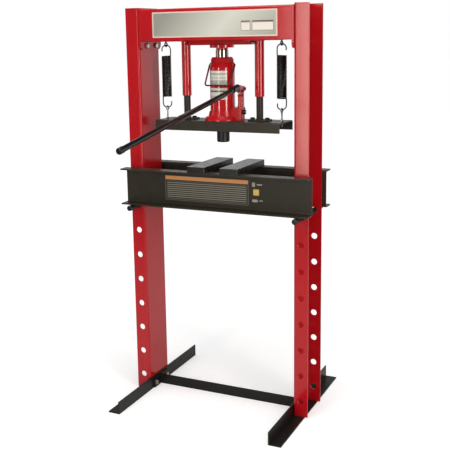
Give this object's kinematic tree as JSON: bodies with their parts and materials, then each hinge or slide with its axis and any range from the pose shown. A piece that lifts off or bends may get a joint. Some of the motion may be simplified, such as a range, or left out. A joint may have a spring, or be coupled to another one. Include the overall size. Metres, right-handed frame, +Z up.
{
  "type": "hydraulic shop press",
  "caption": "Floor standing H-frame shop press with a bottle jack, return springs, guided carriage and an adjustable bed.",
  "frame": {"origin": "on the floor, midway between the uprights, under the ram's axis", "axes": "+X to the right upright, +Y to the back, +Z up along the ram"},
  "size_m": [0.748, 1.1803, 1.5],
  "materials": {
    "red_paint": "glossy powder coat",
    "black_paint": "satin powder coat",
    "raw_steel": "flame cut and lightly oiled steel",
    "zinc_steel": "zinc plated",
    "spring_steel": "blackened wire",
    "chrome_steel": "ground and polished",
    "cast_red": "painted casting",
    "plate_aluminium": "satin anodised sheet",
    "seal_rubber": "moulded",
    "cap_plastic": "moulded"
  },
  "bodies": {
    "frame": {"left_upright": "red_paint", "right_upright": "red_paint", "left_foot": "black_paint", "right_foot": "black_paint", "floor_brace": "black_paint", "foot_bolts": "zinc_steel", "foot_nuts": "zinc_steel", "crosshead_beam": "red_paint", "crosshead_end_plates": "red_paint", "thrust_box": "red_paint", "guide_tie_plates": "red_paint", "left_guide_tube": "red_paint", "right_guide_tube": "red_paint", "name_plate": "plate_aluminium", "crosshead_bolts": "zinc_steel", "crosshead_nuts": "zinc_steel", "upper_eyebolts": "zinc_steel", "upper_eyebolt_nuts": "zinc_steel", "ram_head": "red_paint", "jack_ram": "chrome_steel", "piston_seal": "seal_rubber", "front_bed_channel": "black_paint", "back_bed_channel": "black_paint", "bed_spacers": "black_paint", "left_arbor_plate": "black_paint", "right_arbor_plate": "black_paint", "left_bed_pin": "raw_steel", "right_bed_pin": "raw_steel"},
    "carriage": {"carriage_channel": "black_paint", "left_guide_rod": "black_paint", "right_guide_rod": "black_paint", "guide_rod_plates": "black_paint", "guide_rod_bolts": "zinc_steel", "guide_rod_nuts": "zinc_steel", "press_pin": "raw_steel", "lower_eyebolts": "zinc_steel", "lower_eyebolt_nuts": "zinc_steel", "left_return_spring": "spring_steel", "right_return_spring": "spring_steel", "jack_base": "cast_red", "jack_reservoir": "red_paint", "jack_cylinder": "raw_steel", "jack_top_nut": "red_paint", "oil_filler_plug": "seal_rubber", "bail_ears": "red_paint", "pump_cylinder": "red_paint", "fulcrum_link": "cast_red", "fulcrum_pin": "zinc_steel", "link_pin": "zinc_steel"},
    "handle_assembly": {"socket_yoke": "cast_red", "socket_tube": "black_paint", "pump_handle": "black_paint", "handle_end_cap": "cap_plastic"},
    "plunger_assembly": {"pump_plunger": "chrome_steel", "plunger_cross_pin": "zinc_steel"},
    "valve_screw": {"release_valve": "zinc_steel"},
    "bail": {"carry_bail": "red_paint"}
  },
  "joints": [
    {"name": "carriage_slide", "type": "slide", "parent": "frame", "child": "carriage", "axis": [0, 0, -1], "range_m": [0, 0.08], "stiffness_N_per_m": 1500, "springref_m": -0.16, "deforming": ["left_return_spring", "right_return_spring"]},
    {"name": "handle_hinge", "type": "hinge", "parent": "carriage", "child": "handle_assembly", "pos_m": [0.074, 0.012, 1.202], "axis": [-1, 0, 0], "range_deg": [0, 35]},
    {"name": "plunger_slide", "type": "slide", "parent": "carriage", "child": "plunger_assembly", "axis": [0, 0, 1], "range_m": [0, 0.01261]},
    {"name": "valve_turn", "type": "hinge", "parent": "carriage", "child": "valve_screw", "pos_m": [0.082, -0.003, 1.118], "axis": [1, 0, 0], "range_deg": [0, 180]},
    {"name": "bail_swing", "type": "hinge", "parent": "carriage", "child": "bail", "pos_m": [0, 0, 1.29], "axis": [-1, 0, 0], "range_deg": [0, 120]}
  ],
  "couplings": [
    {"joint": "plunger_slide", "follows": "handle_hinge", "m_per_rad": 0.020646}
  ]
}
